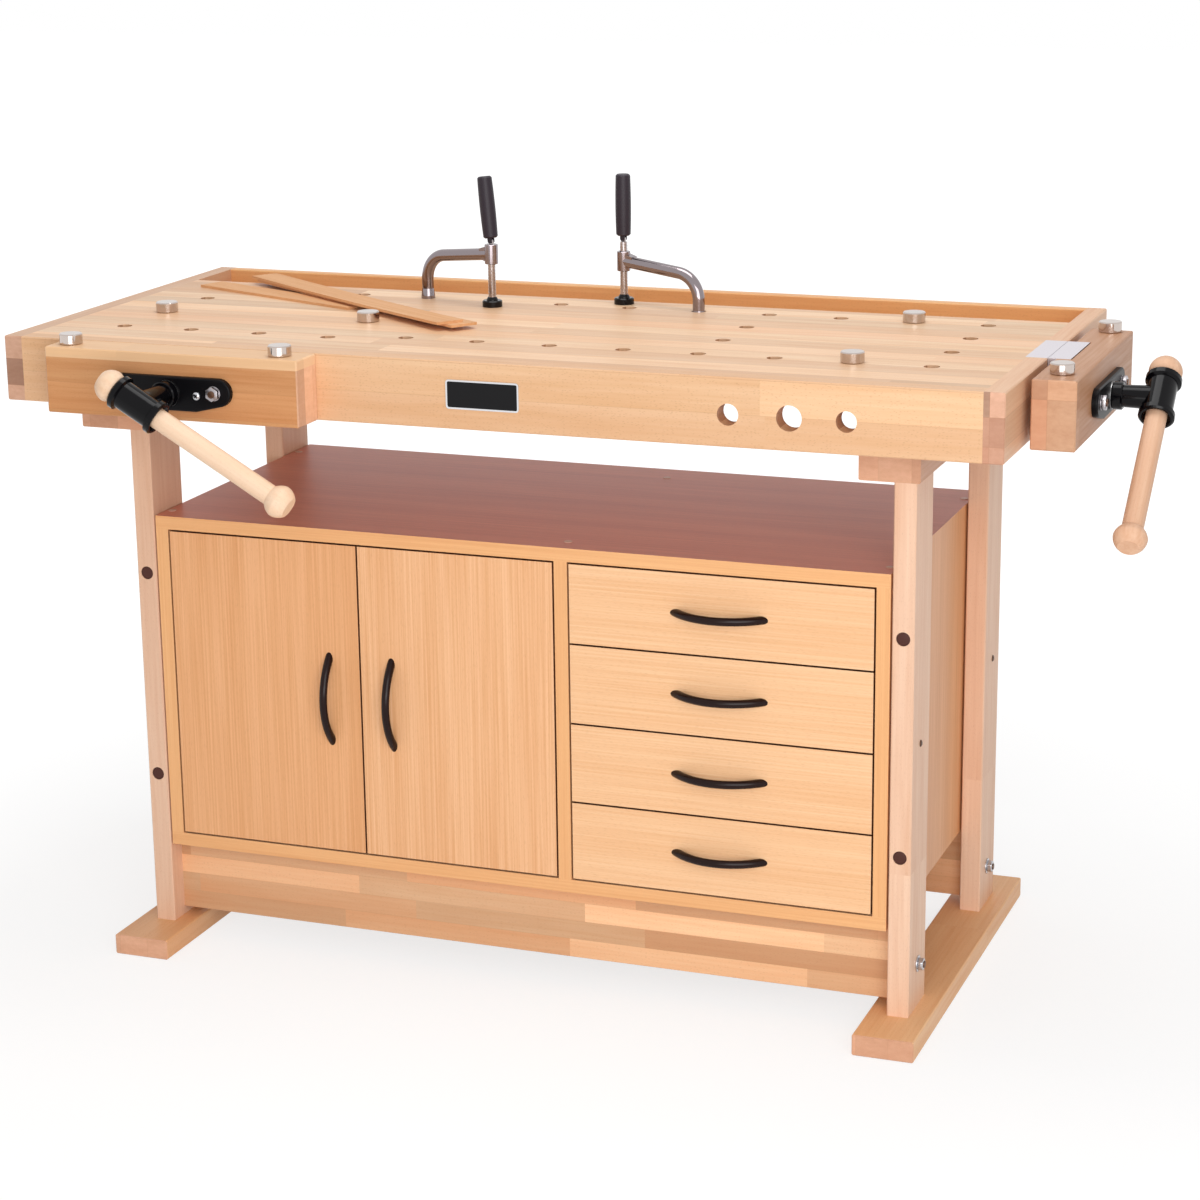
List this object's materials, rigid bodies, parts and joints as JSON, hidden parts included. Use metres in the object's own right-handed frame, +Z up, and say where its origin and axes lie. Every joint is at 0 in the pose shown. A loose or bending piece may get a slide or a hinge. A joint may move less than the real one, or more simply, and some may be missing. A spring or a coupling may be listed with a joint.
{
  "type": "woodworking bench",
  "caption": "Wooden workbench with a front vise and an end vise, round dog holes, a rear tool tray and a cabinet of doors and drawers between its leg frames.",
  "frame": {"origin": "on the floor, at the centre of the space the bench takes up with both vises closed", "axes": "+X along the bench towards the end vise, +Y to the back, away from the front vise, +Z up"},
  "size_m": [1.4954, 0.7804, 1.0388],
  "materials": {
    "beech_wood": "satin lacquer",
    "beech_board": "satin melamine facing",
    "strip_wood": "raw planed wood",
    "dark_board": "raw hardboard",
    "black_iron": "black paint",
    "bright_steel": "bright zinc plating",
    "steel_bar": "ground and oiled",
    "handle_black": "satin black lacquer",
    "aluminium": "fine matte",
    "grip_plastic": "moulded",
    "plate_metal": "black face in a bright rim"
  },
  "bodies": {
    "bench": {"benchtop_slab": "beech_wood", "front_apron": "beech_wood", "end_cap_left": "beech_wood", "end_cap_right": "beech_wood", "back_rail": "beech_wood", "tray_floor": "beech_wood", "bearers": "beech_wood", "legs": "beech_wood", "feet": "beech_wood", "front_stretcher": "beech_wood", "back_stretcher": "beech_wood", "cabinet_panels": "beech_board", "cabinet_back": "dark_board", "door_hinges": "bright_steel", "drawer_runners": "bright_steel", "vise_nuts": "black_iron", "name_plate": "plate_metal", "end_cap_plate": "aluminium", "loose_strips": "strip_wood"},
    "front_vise_jaw": {"front_jaw": "beech_wood", "front_flange": "black_iron", "front_guide_bars": "steel_bar"},
    "front_vise_screw": {"front_spindle": "steel_bar", "front_hub": "black_iron"},
    "front_vise_handle": {"front_handle": "beech_wood"},
    "end_vise_jaw": {"end_jaw": "beech_wood", "end_flange": "black_iron", "end_guide_bars": "steel_bar", "end_jaw_plate": "aluminium"},
    "end_vise_screw": {"end_spindle": "steel_bar", "end_hub": "black_iron"},
    "end_vise_handle": {"end_handle": "beech_wood"},
    "left_door": {"left_door": "beech_board", "left_door_handle": "handle_black"},
    "right_door": {"right_door": "beech_board", "right_door_handle": "handle_black"},
    "drawer_1": {"drawer_1": "beech_board", "drawer_1_handle": "handle_black"},
    "drawer_2": {"drawer_2": "beech_board", "drawer_2_handle": "handle_black"},
    "drawer_3": {"drawer_3": "beech_board", "drawer_3_handle": "handle_black"},
    "drawer_4": {"drawer_4": "beech_board", "drawer_4_handle": "handle_black"},
    "dog_1": {"dog_1": "bright_steel"},
    "dog_2": {"dog_2": "bright_steel"},
    "dog_3": {"dog_3": "bright_steel"},
    "dog_4": {"dog_4": "bright_steel"},
    "dog_5": {"dog_5": "bright_steel"},
    "dog_6": {"dog_6": "bright_steel"},
    "dog_7": {"dog_7": "bright_steel"},
    "dog_8": {"dog_8": "bright_steel"},
    "left_clamp_arm": {"left_clamp_arm": "bright_steel"},
    "left_clamp_pad": {"left_clamp_pad": "grip_plastic"},
    "left_clamp_screw": {"left_clamp_screw": "bright_steel"},
    "left_clamp_grip": {"left_clamp_grip": "grip_plastic"},
    "right_clamp_arm": {"right_clamp_arm": "bright_steel"},
    "right_clamp_pad": {"right_clamp_pad": "grip_plastic"},
    "right_clamp_screw": {"right_clamp_screw": "bright_steel"},
    "right_clamp_grip": {"right_clamp_grip": "grip_plastic"}
  },
  "joints": [
    {"name": "front_vise_travel", "type": "slide", "parent": "bench", "child": "front_vise_jaw", "axis": [0, -1, 0], "range_m": [0, 0.15]},
    {"name": "front_vise_turn", "type": "hinge", "parent": "front_vise_jaw", "child": "front_vise_screw", "pos_m": [-0.47375, -0.28475, 0.81], "axis": [0, -1, 0], "range_deg": [0, 10801]},
    {"name": "front_vise_handle_slide", "type": "slide", "parent": "front_vise_screw", "child": "front_vise_handle", "axis": [-0.866, 0, 0.5], "range_m": [0, 0.1774]},
    {"name": "end_vise_travel", "type": "slide", "parent": "bench", "child": "end_vise_jaw", "axis": [1, 0, 0], "range_m": [0, 0.15]},
    {"name": "end_vise_turn", "type": "hinge", "parent": "end_vise_jaw", "child": "end_vise_screw", "pos_m": [0.65725, 0.04275, 0.81], "axis": [1, 0, 0], "range_deg": [0, 10801]},
    {"name": "end_vise_handle_slide", "type": "slide", "parent": "end_vise_screw", "child": "end_vise_handle", "axis": [0, 0.7826, 0.6225], "range_m": [0, 0.1774]},
    {"name": "left_door_swing", "type": "hinge", "parent": "bench", "child": "left_door", "pos_m": [-0.56075, -0.14975, 0.376], "axis": [0, 0, -1], "range_deg": [0, 105]},
    {"name": "right_door_swing", "type": "hinge", "parent": "bench", "child": "right_door", "pos_m": [-0.00925, -0.14975, 0.376], "axis": [0, 0, 1], "range_deg": [0, 85]},
    {"name": "drawer_1_slide", "type": "slide", "parent": "bench", "child": "drawer_1", "axis": [0, -1, 0], "range_m": [0, 0.32]},
    {"name": "drawer_2_slide", "type": "slide", "parent": "bench", "child": "drawer_2", "axis": [0, -1, 0], "range_m": [0, 0.32]},
    {"name": "drawer_3_slide", "type": "slide", "parent": "bench", "child": "drawer_3", "axis": [0, -1, 0], "range_m": [0, 0.32]},
    {"name": "drawer_4_slide", "type": "slide", "parent": "bench", "child": "drawer_4", "axis": [0, -1, 0], "range_m": [0, 0.32]},
    {"name": "dog_1_lift", "type": "slide", "parent": "front_vise_jaw", "child": "dog_1", "axis": [0, 0, 1], "range_m": [0, 0.032]},
    {"name": "dog_2_lift", "type": "slide", "parent": "front_vise_jaw", "child": "dog_2", "axis": [0, 0, 1], "range_m": [0, 0.032]},
    {"name": "dog_3_lift", "type": "slide", "parent": "bench", "child": "dog_3", "axis": [0, 0, 1], "range_m": [0, 0.032]},
    {"name": "dog_4_lift", "type": "slide", "parent": "bench", "child": "dog_4", "axis": [0, 0, 1], "range_m": [0, 0.032]},
    {"name": "dog_5_lift", "type": "slide", "parent": "bench", "child": "dog_5", "axis": [0, 0, 1], "range_m": [0, 0.032]},
    {"name": "dog_6_lift", "type": "slide", "parent": "bench", "child": "dog_6", "axis": [0, 0, 1], "range_m": [0, 0.032]},
    {"name": "dog_7_lift", "type": "slide", "parent": "end_vise_jaw", "child": "dog_7", "axis": [0, 0, 1], "range_m": [0, 0.032]},
    {"name": "dog_8_lift", "type": "slide", "parent": "end_vise_jaw", "child": "dog_8", "axis": [0, 0, 1], "range_m": [0, 0.032]},
    {"name": "left_clamp_swing", "type": "hinge", "parent": "bench", "child": "left_clamp_arm", "pos_m": [-0.32975, 0.20675, 0.86], "axis": [0, 0, 1], "range_deg": [-40, 180]},
    {"name": "left_clamp_lift", "type": "slide", "parent": "left_clamp_arm", "child": "left_clamp_pad", "axis": [0, 0, 1], "range_m": [0, 0.025]},
    {"name": "left_clamp_turn", "type": "hinge", "parent": "left_clamp_pad", "child": "left_clamp_screw", "pos_m": [-0.21511, 0.16502, 0.9195], "axis": [0, 0, 1], "range_deg": [0, 4501]},
    {"name": "left_clamp_fold", "type": "hinge", "parent": "left_clamp_screw", "child": "left_clamp_grip", "pos_m": [-0.21511, 0.16502, 0.9505], "axis": [0.342, 0.9397, 0], "range_deg": [-46, 46]},
    {"name": "right_clamp_swing", "type": "hinge", "parent": "bench", "child": "right_clamp_arm", "pos_m": [0.07025, 0.20675, 0.86], "axis": [0, 0, 1], "continuous": true},
    {"name": "right_clamp_lift", "type": "slide", "parent": "right_clamp_arm", "child": "right_clamp_pad", "axis": [0, 0, 1], "range_m": [0, 0.025]},
    {"name": "right_clamp_turn", "type": "hinge", "parent": "right_clamp_pad", "child": "right_clamp_screw", "pos_m": [-0.04813, 0.23626, 0.9195], "axis": [0, 0, 1], "range_deg": [0, 4501]},
    {"name": "right_clamp_fold", "type": "hinge", "parent": "right_clamp_screw", "child": "right_clamp_grip", "pos_m": [-0.04813, 0.23626, 0.9505], "axis": [-0.2419, -0.9703, 0], "range_deg": [-65, 65]}
  ],
  "couplings": [
    {"joint": "front_vise_turn", "follows": "front_vise_travel", "rad_per_m": 1256.6},
    {"joint": "end_vise_turn", "follows": "end_vise_travel", "rad_per_m": 1256.6},
    {"joint": "left_clamp_turn", "follows": "left_clamp_lift", "rad_per_m": 3141.6},
    {"joint": "right_clamp_turn", "follows": "right_clamp_lift", "rad_per_m": 3141.6}
  ]
}
